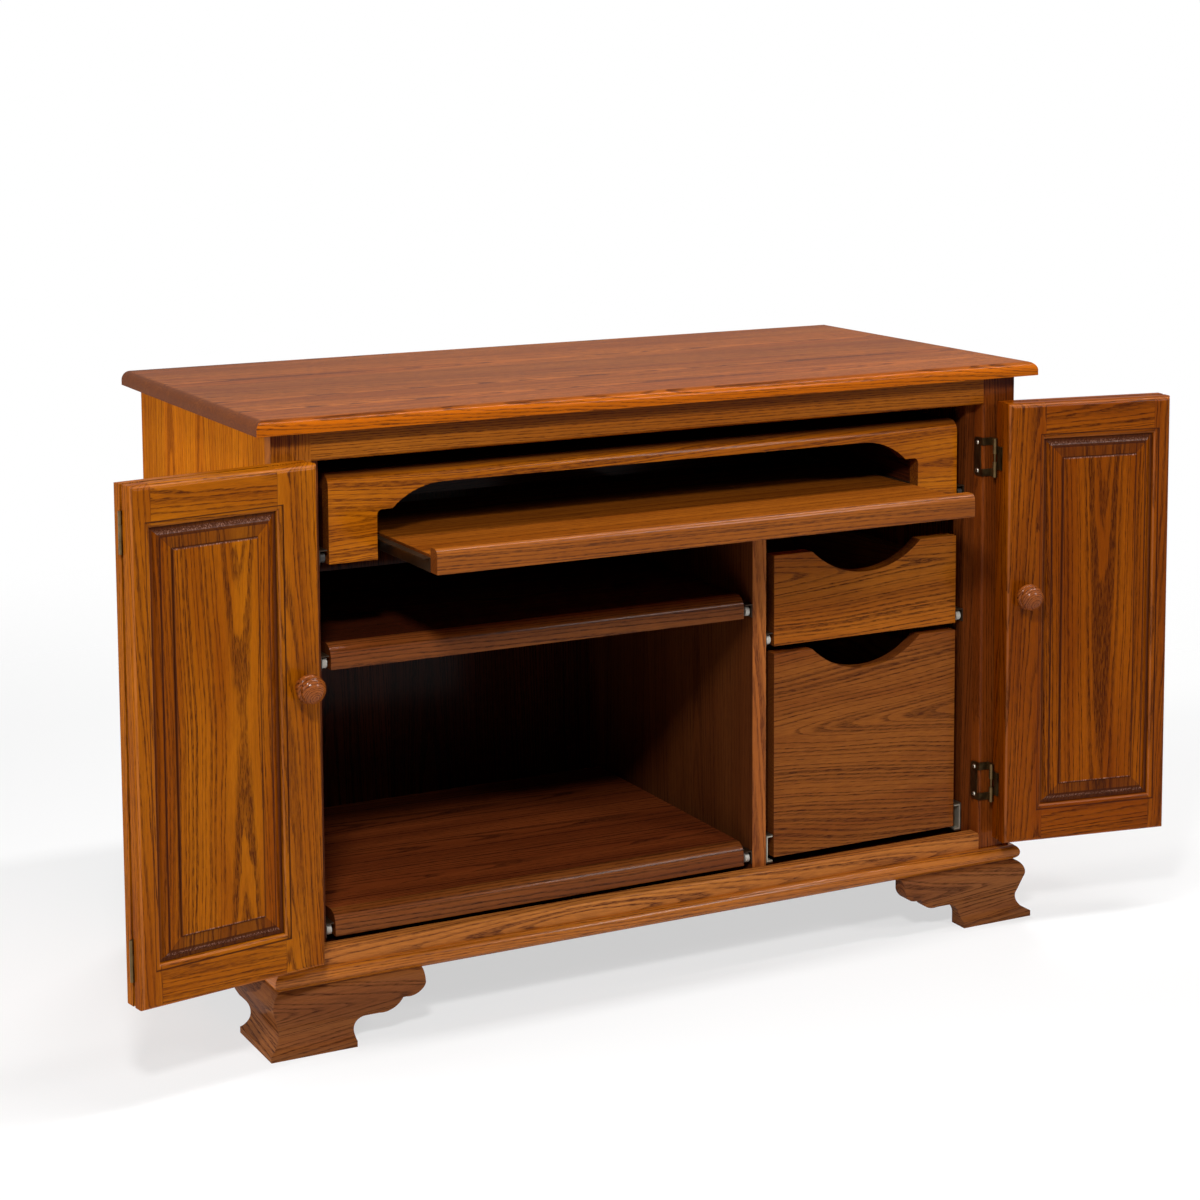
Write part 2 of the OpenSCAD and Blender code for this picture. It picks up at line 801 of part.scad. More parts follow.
module tray_board() {
    color(oak) placed()
        block(-tray_x, tray_x, tray_y + nosing_t, tray_y + tray_d, tray_z, tray_z + board_t);
}

module tray_lip_rail() {
    z = tray_z - tray_lip_drop;
    h = board_t + tray_lip + tray_lip_drop;
    color(oak_light) placed() sweep_x(-tray_x, tray_x) difference() {
        nosing_section(tray_y, z, h, tray_lip - 1);
        translate([tray_y + nosing_t, z + h]) corner_waste(3, -1, -1);
    }
}

module tray_runners() {
    color(cream) placed() both(-tray_x, tray_x)
        runner(0, tray_z, tray_y + nosing_t, tray_d - nosing_t);
}

// Shelves in the left bay

module shelf_board(z) {
    y0 = front_y + nosing_t;
    under = nosing_h - board_t;
    block(shelf_x0, shelf_x1, y0, y0 + board_d, z + under, z + nosing_h);
    block(shelf_x0, shelf_x0 + board_t, y0, y0 + board_d, z, z + under);
    block(shelf_x1 - board_t, shelf_x1, y0, y0 + board_d, z, z + under);
}

module shelf_nosing(z) {
    sweep_x(shelf_x0, shelf_x1) nosing_section(front_y, z, nosing_h, nosing_round);
}

module shelf_runners(z) {
    both(shelf_x0, shelf_x1) runner(0, z, front_y + nosing_t, slide_len - nosing_t);
}

module printer_shelf_board() {
    color(oak) placed() shelf_board(printer_z);
}

module printer_shelf_nosing() {
    color(oak_dark) placed() shelf_nosing(printer_z);
}

module printer_shelf_runners() {
    color(cream) placed() shelf_runners(printer_z);
}

module bottom_shelf_board() {
    color(oak) placed() shelf_board(bottom_shelf_z);
}

module bottom_shelf_nosing() {
    color(oak_dark) placed() shelf_nosing(bottom_shelf_z);
}

module bottom_shelf_runners() {
    color(cream) placed() shelf_runners(bottom_shelf_z);
}

// Drawers in the right bay

// scoop cut from the top edge: a shallow arc with rounded shoulders
module scoop_waste(h) {
    shoulder = scoop_shoulder;
    half = scoop_w / 2;
    reach = (half * half + scoop_d * scoop_d) / (2 * scoop_d);
    arc_r = reach - shoulder;
    drop = reach - scoop_d;
    side_x = sqrt(reach * reach - drop * drop);
    // height at which the arc meets the shoulders
    touch = h - scoop_d + arc_r - arc_r * drop / reach;
    difference() {
        union() {
            intersection() {
                translate([0, h - scoop_d + arc_r]) circle(arc_r, $fn = 96);
                translate([-half * 2, h - scoop_d - eps]) square([half * 4, scoop_d + 2 * eps]);
            }
            translate([-side_x, touch]) square([2 * side_x, h - touch + eps]);
        }
        for (s = [-1, 1]) translate([s * side_x, h - shoulder]) circle(shoulder);
    }
}

module drawer_front(z, h) {
    mid = (drawer_x0 + drawer_x1) / 2;
    sweep_y(front_y, front_y + nosing_t) translate([mid, z]) difference() {
        translate([-(drawer_x1 - drawer_x0) / 2, 0]) square([drawer_x1 - drawer_x0, h]);
        scoop_waste(h);
    }
}

// two sides, a back and a bottom held between them
module drawer_box(z, h) {
    y0 = front_y + nosing_t;
    y1 = y0 + board_d;
    t = drawer_side_t;
    bottom_z = z + drawer_bottom_up;
    inside_z = bottom_z + drawer_bottom_t;
    block(drawer_x0, drawer_x0 + t, y0, y1, z, z + h);
    block(drawer_x1 - t, drawer_x1, y0, y1, z, z + h);
    block(drawer_x0 + t, drawer_x1 - t, y1 - t, y1, inside_z, z + h);
    block(drawer_x0 + t, drawer_x1 - t, y0, y1, bottom_z, inside_z);
}

module upper_drawer_front() {
    color(oak_dark) placed() drawer_front(upper_z, upper_front_h);
}

module upper_drawer_box() {
    color(oak_ply) placed() drawer_box(upper_z, upper_front_h - drawer_step);
}

module upper_drawer_runners() {
    color(cream) placed() both(drawer_x0, drawer_x1)
        runner(0, upper_z, front_y + nosing_t, slide_len - nosing_t);
}

module file_drawer_front() {
    color(oak) placed() drawer_front(file_z, file_front_h);
}

module file_drawer_box() {
    color(oak_ply) placed() drawer_box(file_z, file_front_h - drawer_step);
}

// Doors. A leaf is drawn with its wide stile at x = 0, its inner face at y = 0 and its outer
// face towards -y. In the open pair both leaves lie this way, the hinge leaf turned about.

module leaf_blank() {
    intersection() {
        linear_extrude(leaf_h) difference() {
            translate([0, -leaf_t]) square([leaf_w, leaf_t]);
            translate([0, -leaf_t]) corner_waste(leaf_round, 1, 1);
            translate([leaf_w, -leaf_t]) corner_waste(leaf_round, -1, 1);
        }
        sweep_x(0, leaf_w) difference() {
            translate([-leaf_t, 0]) square([leaf_t, leaf_h]);
            translate([-leaf_t, 0]) corner_waste(leaf_round, 1, 1);
            translate([-leaf_t, leaf_h]) corner_waste(leaf_round, 1, -1);
        }
    }
}

// section of the panel opening between a and b, x across and y from the outer face inwards;
// the bead stands a little step below the face
module opening_section(a, b) {
    wide = bead_r + bead_step;
    translate([a, -eps]) square([b - a, leaf_t + 2 * eps]);
    translate([a - wide, -eps]) square([b - a + 2 * wide, bead_step + eps]);
    translate([a, bead_step]) corner_waste(bead_r, -1, 1);
    translate([b, bead_step]) corner_waste(bead_r, 1, 1);
}

module leaf_opening() {
    x0 = wide_stile;
    x1 = leaf_w - narrow_stile;
    z0 = leaf_bottom_rail;
    z1 = leaf_h - leaf_top_rail;
    reach = bead_r + bead_step;
    translate([0, -leaf_t, 0]) intersection() {
        translate([0, 0, z0 - reach]) linear_extrude(z1 - z0 + 2 * reach) opening_section(x0, x1);
        sweep_x(x0 - reach, x1 + reach) mirror([1, 0]) rotate(90) opening_section(z0, z1);
    }
    block(x0 - groove_d, x1 + groove_d, -tongue_y - tongue_t - panel_play, -tongue_y + panel_play,
          z0 - groove_d, z1 + groove_d);
}

// two full-height stiles and two rails between them
module leaf_frame() {
    x1 = leaf_w - narrow_stile;
    z1 = leaf_h - leaf_top_rail;
    difference() {
        intersection() {
            leaf_blank();
            block(0, wide_stile, -leaf_t, 0, 0, leaf_h);
        }
        leaf_opening();
    }
    difference() {
        intersection() {
            leaf_blank();
            block(x1, leaf_w, -leaf_t, 0, 0, leaf_h);
        }
        leaf_opening();
    }
    for (z = [[0, leaf_bottom_rail], [z1, leaf_h]]) difference() {
        intersection() {
            leaf_blank();
            block(wide_stile, x1, -leaf_t, 0, z[0], z[1]);
        }
        leaf_opening();
    }
}

// half section of a panel: x from its edge, y towards the outer face; a roll, a little step, a
// flat and a low step up to the field
module raise_step(len) {
    sight = groove_d - panel_play;
    top = leaf_t - field_drop;
    flat = top - field_step;
    x_roll = sight + panel_roll;
    translate([0, tongue_y]) square([len, tongue_t]);
    intersection() {
        translate([x_roll, flat - panel_fillet - panel_roll_r]) circle(panel_roll_r);
        translate([0, tongue_y]) square([len, leaf_t]);
    }
    translate([x_roll, tongue_y]) square([len - x_roll, flat - tongue_y]);
    translate([sight + raise_w, flat - eps]) square([len - sight - raise_w, field_step / 2 + eps]);
    translate([sight + raise_w + 1, flat - eps]) square([len - sight - raise_w - 1, field_step + eps]);
    translate([sight + raise_w + 1, top - 1]) circle(1);
}

module panel_section(a, b) {
    half = (b - a) / 2;
    translate([a, 0]) raise_step(half);
    translate([b, 0]) mirror([1, 0]) raise_step(half);
}

module leaf_panel() {
    intersection() {
        translate([0, 0, panel_z0]) linear_extrude(panel_z1 - panel_z0) mirror([0, 1])
            panel_section(panel_x0, panel_x1);
        sweep_x(panel_x0, panel_x1) rotate(90) panel_section(panel_z0, panel_z1);
    }
}

// places a leaf of the open right-hand pair, in the pair's own axes with the pin at the origin
module as_hinge_leaf() {
    translate([pin_edge, -inner_face, leaf_z]) mirror([0, 1, 0]) children();
}

module as_knob_leaf() {
    translate([pin_edge, -inner_face - fold_space, leaf_z]) children();
}

module right_pair() {
    placed() translate([pin_x, -pin_out, 0]) rotate([0, 0, -door_tilt]) children();
}

module left_pair() {
    placed() mirror([1, 0, 0]) translate([pin_x, -pin_out, 0]) rotate([0, 0, -door_tilt]) children();
}

// knob on the wide stile, turned: a rosette with a cove, a round rim, and a domed face
module knob_shape() {
    r = knob_d / 2;
    face_r = r - knob_step;
    rim_z = knob_len - 19.5;
    face_z = knob_len - 11;
    cove = 4.6;
    translate([knob_in, -leaf_t, knob_z]) rotate([90, 0, 0]) rotate_extrude() {
        difference() {
            square([r * 0.62, 9]);
            translate([r * 0.42 + cove, 2.5 + cove]) circle(cove);
        }
        square([r * 0.42 + 0.3, face_z]);
        round_disc(r, knob_rim, rim_z);
        round_disc(face_r, knob_rim, face_z);
        intersection() {
            translate([0, knob_len - knob_dome_r]) circle(knob_dome_r);
            translate([0, face_z]) square([face_r - 2, knob_len]);
        }
    }
}

// half section of a disc with a fully rounded rim, its middle at height z
module round_disc(r, edge, z) {
    translate([0, z - edge]) square([r - edge, 2 * edge]);
    translate([r - edge, z]) circle(edge);
}

// Hinges

hinge_zs = [leaf_z + hinge_end, leaf_z + leaf_h - hinge_end];
fold_zs = [fold_end, leaf_h - fold_end];
strap = hinge_h / 2 - bar_h - 0.2;

module tube(x, y, z0, z1, r, bore) {
    translate([x, y, z0]) difference() {
        cylinder(h = z1 - z0, r = r);
        translate([0, 0, -eps]) cylinder(h = z1 - z0 + 2 * eps, r = bore);
    }
}

// right-hand cabinet hinge's fixed half, round the corner of the stile, with its knuckles
module frame_wing(z) {
    half = hinge_h / 2;
    edge = open_w / 2;
    arm = pin_x + knuckle_r - brass_t;
    sweep_x(edge - brass_t, edge) difference() {
        translate([frame_ease, z - half]) square([frame_t - 1 - frame_ease, hinge_h]);
        translate([frame_t - 1, z - half]) corner_waste(plate_r, -1, 1);
        translate([frame_t - 1, z + half]) corner_waste(plate_r, -1, -1);
    }
    for (s = [-1, 1]) {
        za = s > 0 ? z + half - bar_h : z - half;
        block(edge - brass_t, edge, -brass_t, frame_ease, za, za + bar_h);
        block(edge - brass_t, arm + brass_t, -brass_t, 0, za, za + bar_h);
        difference() {
            block(arm, arm + brass_t, -pin_out, 0, za, za + bar_h);
            translate([pin_x, -pin_out, za - eps]) cylinder(h = bar_h + 2 * eps, r = pin_r + 0.05);
        }
        tube(pin_x, -pin_out, za, za + bar_h, knuckle_r, pin_r + 0.05);
    }
}

module frame_hinge_wings() {
    color(brass) placed() for (side = [0, 1]) mirror([side, 0, 0])
        for (z = hinge_zs) frame_wing(z);
}

module hinge_screws() {
    edge = open_w / 2 - brass_t;
    color(steel) placed() for (side = [0, 1]) mirror([side, 0, 0])
        for (z = hinge_zs) for (s = [-1, 1])
            translate([edge, frame_t / 2 + 1.5, z + s * (hinge_h / 2 - 7)]) rotate([0, -90, 0])
                cylinder(h = 1, r1 = 3.2, r2 = 2.2);
}

// moving half on the hinge leaf, in the pair's axes: a strap on the leaf's edge and inner face,
// rolled round the pin at its two ends only
module leaf_wing(z) {
    for (s = [-1, 1]) {
        z0 = s > 0 ? z + strap - leaf_knuckle_h : z - strap;
        tube(0, 0, z0, z0 + leaf_knuckle_h, knuckle_r, pin_r + 0.05);
    }
    difference() {
        block(pin_edge - brass_t, pin_edge, -inner_face - brass_t, 0, z - strap, z + strap);
        translate([0, 0, z - strap - eps]) cylinder(h = 2 * strap + 2 * eps, r = pin_r + 0.05);
    }
    block(pin_edge - brass_t, pin_edge + leaf_strap, -inner_face - brass_t, -inner_face, z - strap,
          z + strap);
    translate([0, 0, z - hinge_h / 2]) cylinder(h = hinge_h, r = pin_r);
}

// one wing of a fold hinge with its knuckles: outer thirds for the hinge leaf, the middle for the other
module fold_half(z, outer) {
    third = fold_h / 3;
    y_face = outer ? -inner_face : -inner_face - fold_space;
    dir = outer ? -1 : 1;
    for (s = outer ? [-1, 1] : [0]) {
        z0 = z + s * third - third / 2 + 0.1;
        tube(fold_x, -fold_y, z0, z0 + third - 0.2, fold_r, outer ? pin_r - 0.5 : pin_r - 0.45);
        difference() {
            block(fold_x - fold_wing, fold_x, y_face + (dir < 0 ? -brass_t : 0),
                  y_face + (dir < 0 ? 0 : brass_t), z0, z0 + third - 0.2);
            translate([fold_x, -fold_y, z0 - eps]) cylinder(h = third + 2 * eps, r = pin_r - 0.45);
        }
    }
    block(fold_x - fold_wing, fold_x - fold_r - 1, y_face + (dir < 0 ? -brass_t : 0),
          y_face + (dir < 0 ? 0 : brass_t), z - fold_h / 2, z + fold_h / 2);
    if (outer) translate([fold_x, -fold_y, z - fold_h / 2]) cylinder(h = fold_h, r = pin_r - 0.5);
}

module hinge_leaf_wings() {
    for (z = hinge_zs) leaf_wing(z);
    for (z = fold_zs) fold_half(leaf_z + z, true);
}

module knob_leaf_wings() {
    for (z = fold_zs) fold_half(leaf_z + z, false);
}

module left_hinge_leaf_frame() {
    color(oak) left_pair() as_hinge_leaf() leaf_frame();
}

module left_hinge_leaf_panel() {
    color(oak) left_pair() as_hinge_leaf() leaf_panel();
}

module left_hinge_leaf_wings() {
    color(brass) left_pair() hinge_leaf_wings();
}

module left_knob_leaf_frame() {
    color(oak) left_pair() as_knob_leaf() leaf_frame();
}

module left_knob_leaf_panel() {
    color(oak) left_pair() as_knob_leaf() leaf_panel();
}

module left_knob_leaf_wings() {
    color(brass) left_pair() knob_leaf_wings();
}

module left_knob() {
    color(oak_light) left_pair() as_knob_leaf() knob_shape();
}

module right_hinge_leaf_frame() {
    color(oak) right_pair() as_hinge_leaf() leaf_frame();
}

module right_hinge_leaf_panel() {
    color(oak) right_pair() as_hinge_leaf() leaf_panel();
}

module right_hinge_leaf_wings() {
    color(brass) right_pair() hinge_leaf_wings();
}

module right_knob_leaf_frame() {
    color(oak) right_pair() as_knob_leaf() leaf_frame();
}

module right_knob_leaf_panel() {
    color(oak) right_pair() as_knob_leaf() leaf_panel();
}

module right_knob_leaf_wings() {
    color(brass) right_pair() knob_leaf_wings();
}

module right_knob() {
    color(oak_light) right_pair() as_knob_leaf() knob_shape();
}

top_panel();
left_side();
right_side();
back_panel();
bottom_panel();
partition();
left_stile();
right_stile();
top_rail();
bottom_rail();
base_moulding();
front_left_foot();
front_right_foot();
rear_left_foot();
rear_right_foot();
slide_posts();
rear_stretcher();
top_cleats();
roller_tracks();
file_tracks();
cabinet_rollers();
frame_hinge_wings();
hinge_screws();
left_hinge_leaf_frame();
left_hinge_leaf_panel();
left_hinge_leaf_wings();
left_knob_leaf_frame();
left_knob_leaf_panel();
left_knob_leaf_wings();
left_knob();
right_hinge_leaf_frame();
right_hinge_leaf_panel();
right_hinge_leaf_wings();
right_knob_leaf_frame();
right_knob_leaf_panel();
right_knob_leaf_wings();
right_knob();
unit_top();
unit_apron();
unit_sides();
unit_back();
unit_slides();
unit_rollers();
tray_board();
tray_lip_rail();
tray_runners();
printer_shelf_board();
printer_shelf_nosing();
printer_shelf_runners();
bottom_shelf_board();
bottom_shelf_nosing();
bottom_shelf_runners();
upper_drawer_front();
upper_drawer_box();
upper_drawer_runners();
file_drawer_front();
file_drawer_box();
file_drawer_members();
file_slide_middles();
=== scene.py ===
import bmesh
import bpy
import math
from mathutils import Matrix, Vector

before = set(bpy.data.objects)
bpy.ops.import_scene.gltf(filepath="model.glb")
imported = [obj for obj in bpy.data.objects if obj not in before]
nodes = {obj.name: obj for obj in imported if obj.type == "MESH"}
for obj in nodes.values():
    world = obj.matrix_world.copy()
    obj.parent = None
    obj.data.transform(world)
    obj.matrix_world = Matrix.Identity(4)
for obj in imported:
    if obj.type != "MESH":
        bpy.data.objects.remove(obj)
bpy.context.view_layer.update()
scene = bpy.context.scene
scene.view_settings.view_transform = "Standard"


# The camera stands to the left of the desk, a little over its top, and looks slightly down.
# Its place and turn were fitted to the straight edges of the desk in the photograph.
FOCAL_PX = 2613.2
CENTRE_PX = (593.7, 331.2)
PICTURE_PX = 1200.0
CAMERA_AT = Vector((-1.55544, -3.00927, 1.20266))
TURN, DIP, ROLL = 0.474330, 0.114146, -0.0060607
SENSOR, NEAR, FAR = 36.0, 0.05, 60.0
ahead = Vector((math.sin(TURN) * math.cos(DIP), math.cos(TURN) * math.cos(DIP), -math.sin(DIP)))
level = Vector((math.cos(TURN), -math.sin(TURN), 0))
upward = level.cross(ahead)
right = level * math.cos(ROLL) + upward * math.sin(ROLL)
upward = upward * math.cos(ROLL) - level * math.sin(ROLL)
camera = bpy.data.objects.new("camera", bpy.data.cameras.new("camera"))
scene.collection.objects.link(camera)
looking = Matrix((right, upward, -ahead)).transposed().to_4x4()
camera.matrix_world = Matrix.Translation(CAMERA_AT) @ looking
camera.data.sensor_width = SENSOR
camera.data.lens = FOCAL_PX / PICTURE_PX * SENSOR
camera.data.shift_x = (PICTURE_PX / 2 - CENTRE_PX[0]) / PICTURE_PX
camera.data.shift_y = (CENTRE_PX[1] - PICTURE_PX / 2) / PICTURE_PX
camera.data.clip_start, camera.data.clip_end = NEAR, FAR
scene.camera = camera


# The desk stands on a plain pale floor that runs out into a white room. Five soft lamps
# shine on it: from high in front on the left, from the left, from above along the front,
# from the right in front, and from behind.
class Wire:
    """A socket of a shader. Sums of wires add Math nodes, and add() adds any other node."""

    def __init__(self, tree, socket=None):
        self.tree, self.socket = tree, socket

    def add(self, kind, settings=None, sockets=None, out=0):
        node = self.tree.nodes.new("ShaderNode" + kind)
        for name, value in (settings or {}).items():
            setattr(node, name, value)
        for name, value in (sockets or {}).items():
            if isinstance(value, Wire):
                self.tree.links.new(value.socket, node.inputs[name])
            else:
                node.inputs[name].default_value = value
        return Wire(self.tree, node.outputs[out] if node.outputs else None)

    def math(self, operation, *values):
        return self.add("Math", {"operation": operation}, dict(enumerate(values)))

    def __add__(self, other):
        return self.math("ADD", self, other)

    def __radd__(self, other):
        return self.math("ADD", other, self)

    def __sub__(self, other):
        return self.math("SUBTRACT", self, other)

    def __rsub__(self, other):
        return self.math("SUBTRACT", other, self)

    def __mul__(self, other):
        return self.math("MULTIPLY", self, other)

    def __rmul__(self, other):
        return self.math("MULTIPLY", other, self)

    def __truediv__(self, other):
        return self.math("DIVIDE", self, other)

    def __rtruediv__(self, other):
        return self.math("DIVIDE", other, self)

    def __pow__(self, other):
        return self.math("POWER", self, other)

    def __rpow__(self, other):
        return self.math("POWER", other, self)

    def __neg__(self):
        return self.math("MULTIPLY", self, -1.0)

    def __gt__(self, other):
        return self.math("GREATER_THAN", self, other)

    def __lt__(self, other):
        return self.math("LESS_THAN", self, other)

    def __abs__(self):
        return self.math("ABSOLUTE", self)

    def larger(self, other):
        return self.math("MAXIMUM", self, other)

    def smaller(self, other):
        return self.math("MINIMUM", self, other)

    def whole(self):
        return self.math("FLOOR", self)

    def draw(self, out=0):
        """A random number from 0 to 1 for each value of this wire, or a random colour."""
        return self.add("TexWhiteNoise", {"noise_dimensions": "1D"}, {"W": self}, out)

    def ease(self, low, high):
        """0 below low, 1 above high, and smooth between them."""
        return self.add("MapRange", {"interpolation_type": "SMOOTHSTEP"},
                        {"Value": self, "From Min": low, "From Max": high})

    def pick(self, off, on):
        """off where this wire is 0, on where it is 1, for numbers."""
        return off + (on - off) * self

    def tint(self, off, on):
        """off where this wire is 0, on where it is 1, for colours. Sockets 6 and 7 of the
        node take the colours, and 2 gives one."""
        return self.add("Mix", {"data_type": "RGBA"}, {0: self, 6: off, 7: on}, 2)


def new_finish(name):
    """An empty material, and a wire to add its nodes with."""
    finish = bpy.data.materials.new(name)
    finish.use_nodes = True
    finish.node_tree.nodes.clear()
    return finish, Wire(finish.node_tree)


def seen_by(tree):
    """1 for what the camera sees, straight or in a gloss or through glass."""
    seen = None
    for ray in ("Is Camera Ray", "Is Glossy Ray", "Is Transmission Ray"):
        wire = tree.add("LightPath", out=ray)
        seen = wire if seen is None else seen.larger(wire)
    return seen


AMBIENT, WHITE, PALE = 0.045, (1, 1, 1, 1), (0.84, 0.84, 0.84, 1)
scene.world = bpy.data.worlds.new("room")
scene.world.use_nodes = True
scene.world.node_tree.nodes.clear()
room = Wire(scene.world.node_tree)
seen = seen_by(room)
sky = room.add("Background", None, {"Color": WHITE, "Strength": seen.pick(AMBIENT, 1.0)})
room.add("OutputWorld", None, {"Surface": sky})

FLOOR_REACH, FLOOR_FADE, FLOOR_GLOW = 4.0, (1.1, 2.8), 0.6
floor_mesh = bmesh.new()
bmesh.ops.create_circle(floor_mesh, cap_ends=True, segments=96, radius=FLOOR_REACH)
floor = bpy.data.objects.new("floor", bpy.data.meshes.new("floor"))
floor_mesh.to_mesh(floor.data)
floor_mesh.free()
scene.collection.objects.link(floor)
floor_finish, tree = new_finish("floor")
where = tree.add("TexCoord", out="Object")
away = tree.add("VectorMath", {"operation": "LENGTH"}, {0: where}, "Value")
paper = tree.add("BsdfDiffuse", None, {"Color": PALE})
glow = tree.add("Emission", None, {"Color": WHITE, "Strength": 1.0})
lit = tree.add("MixShader", None, {0: seen_by(tree) * FLOOR_GLOW, 1: paper, 2: glow})
clear = tree.add("BsdfTransparent")
tree.add("OutputMaterial", None,
         {"Surface": tree.add("MixShader", None, {0: away.ease(*FLOOR_FADE), 1: lit, 2: clear})})
floor.data.materials.append(floor_finish)


def lamp(name, at, aim, size, watts, wide=None, mirrored=True):
    """A soft lamp, round or, where wide is given, a strip that is wide from left to right."""
    light = bpy.data.lights.new(name, "AREA")
    light.shape, light.size, light.energy = "RECTANGLE" if wide else "DISK", wide or size, watts
    light.size_y = size
    made = bpy.data.objects.new(name, light)
    scene.collection.objects.link(made)
    made.location = at
    made.rotation_euler = (Vector(aim) - Vector(at)).to_track_quat("-Z", "Y").to_euler()
    made.visible_camera = False
    made.visible_glossy = mirrored


lamp("key_lamp", (-1.4, -2.2, 2.4), (-0.1, -0.1, 0.42), 0.4, 54)
lamp("side_lamp", (-3.0, -0.1, 1.5), (-0.5, 0.0, 0.5), 1.2, 52)
lamp("top_lamp", (0.75, -0.6, 2.6), (0.75, -0.25, 0.5), 0.16, 44, wide=2.6)
lamp("fill_lamp", (1.5, -2.3, 2.1), (0.2, -0.1, 0.4), 0.8, 20)
lamp("rear_lamp", (1.6, 2.6, 1.7), (0.1, 0.2, 0.4), 1.4, 60, mirrored=False)


# The top is glued up from lengthwise boards of red oak, rounded over along its front and
# ends, stained and lacquered like the whole desk. Cleats inside hold it to the sides.
def stain(red, green, blue):
    """A colour as a screen shows it, 0 to 255, as the shader wants it."""
    return tuple((v / 255 / 12.92 if v < 11 else ((v / 255 + 0.055) / 1.055) ** 2.4)
                 for v in (red, green, blue)) + (1.0,)


def measure(tree, axis, start=0.0):
    """Millimetres along an axis of the piece, from start."""
    place = tree.add("TexCoord", out="Object")
    along = tree.add("VectorMath", {"operation": "DOT_PRODUCT"},
                     {0: place, 1: tuple(Vector(axis) * 1000)}, "Value")
    return along - start if start else along


def facing(tree, axis):
    """1 where the surface looks along an axis of the piece, either way, and 0 square to it."""
    normal = tree.add("TexCoord", out="Normal")
    return abs(tree.add("VectorMath", {"operation": "DOT_PRODUCT"},
                        {0: normal, 1: axis}, "Value"))


def speckle(tree, along, across, deep, scales, detail=2.0, roughness=0.5):
    """Noise stretched by a scale per millimetre along the grain, and one across it."""
    at = tree.add("CombineXYZ", None,
                  {0: along * scales[0], 1: across * scales[1], 2: deep * scales[1]})
    return tree.add("TexNoise", None, {"Vector": at, "Scale": 1.0, "Detail": detail,
                                       "Roughness": roughness})


# The scales of the wood's noises: how the rings sway, their ragged edges, the pores, the fine
# hairs between them, the drift of the stain, and the pores seen on end grain.
SWAYING, RAGGED, PORES = (0.0026, 0.012), (0.024, 0.16), (0.07, 0.95)
HAIRS, DRIFT, END_PORES = (0.016, 0.3), (0.0019, 0.02), (0.02, 0.5)
PORE_EDGES, HAIR_EDGES, DRIFT_EDGES = (0.46, 0.57), (0.42, 0.7), (0.32, 0.68)
# A year's ring starts at 0 and ends at 1. Its early wood is dark and open. Years differ in
# width, by a noise over the radius, and in how dark they are.
EARLY_RISE, EARLY_FALL, WIDTH_NOISE, WIDTHS_DIFFER = (0.0, 0.1), (0.22, 0.6), 0.035, 1.5
RAGGED_MM, YEARS_DIFFER, PORES_IN_RING, PORES_DARK, HAIRS_DARK = 2.4, 0.26, 0.38, 0.22, 0.22
WAIST_ROUND = 30.0
# The boards of a glued-up panel differ at random: by how many of their widths the heart lies
# elsewhere, by how far along the tree they were cut, and by how light they are. A seed moves
# the glue lines, changes these chances and moves the whole panel along its tree.
BOARD_SHIFT, BOARD_ALONG, BOARD_DARKEST, BOARD_SPREAD = 1.3, 900, 0.84, 0.3
SEED_SHIFT, SEED_CHANCE, SEED_ALONG = 0.31, 3.7, 377
END_STAIN = stain(96, 48, 18)
# The colour and share of the darkening: stain gathered in seams and end grain, and painted shade.
DARK_STAIN_AND_SHADE, DARKENING_SHARE = stain(62, 28, 14), 0.86
# The colour of the painted highlight on the top's front and back edges.
EDGE_HIGHLIGHT = stain(184, 92, 2)
LOOKS_ALONG = (0.45, 0.9)


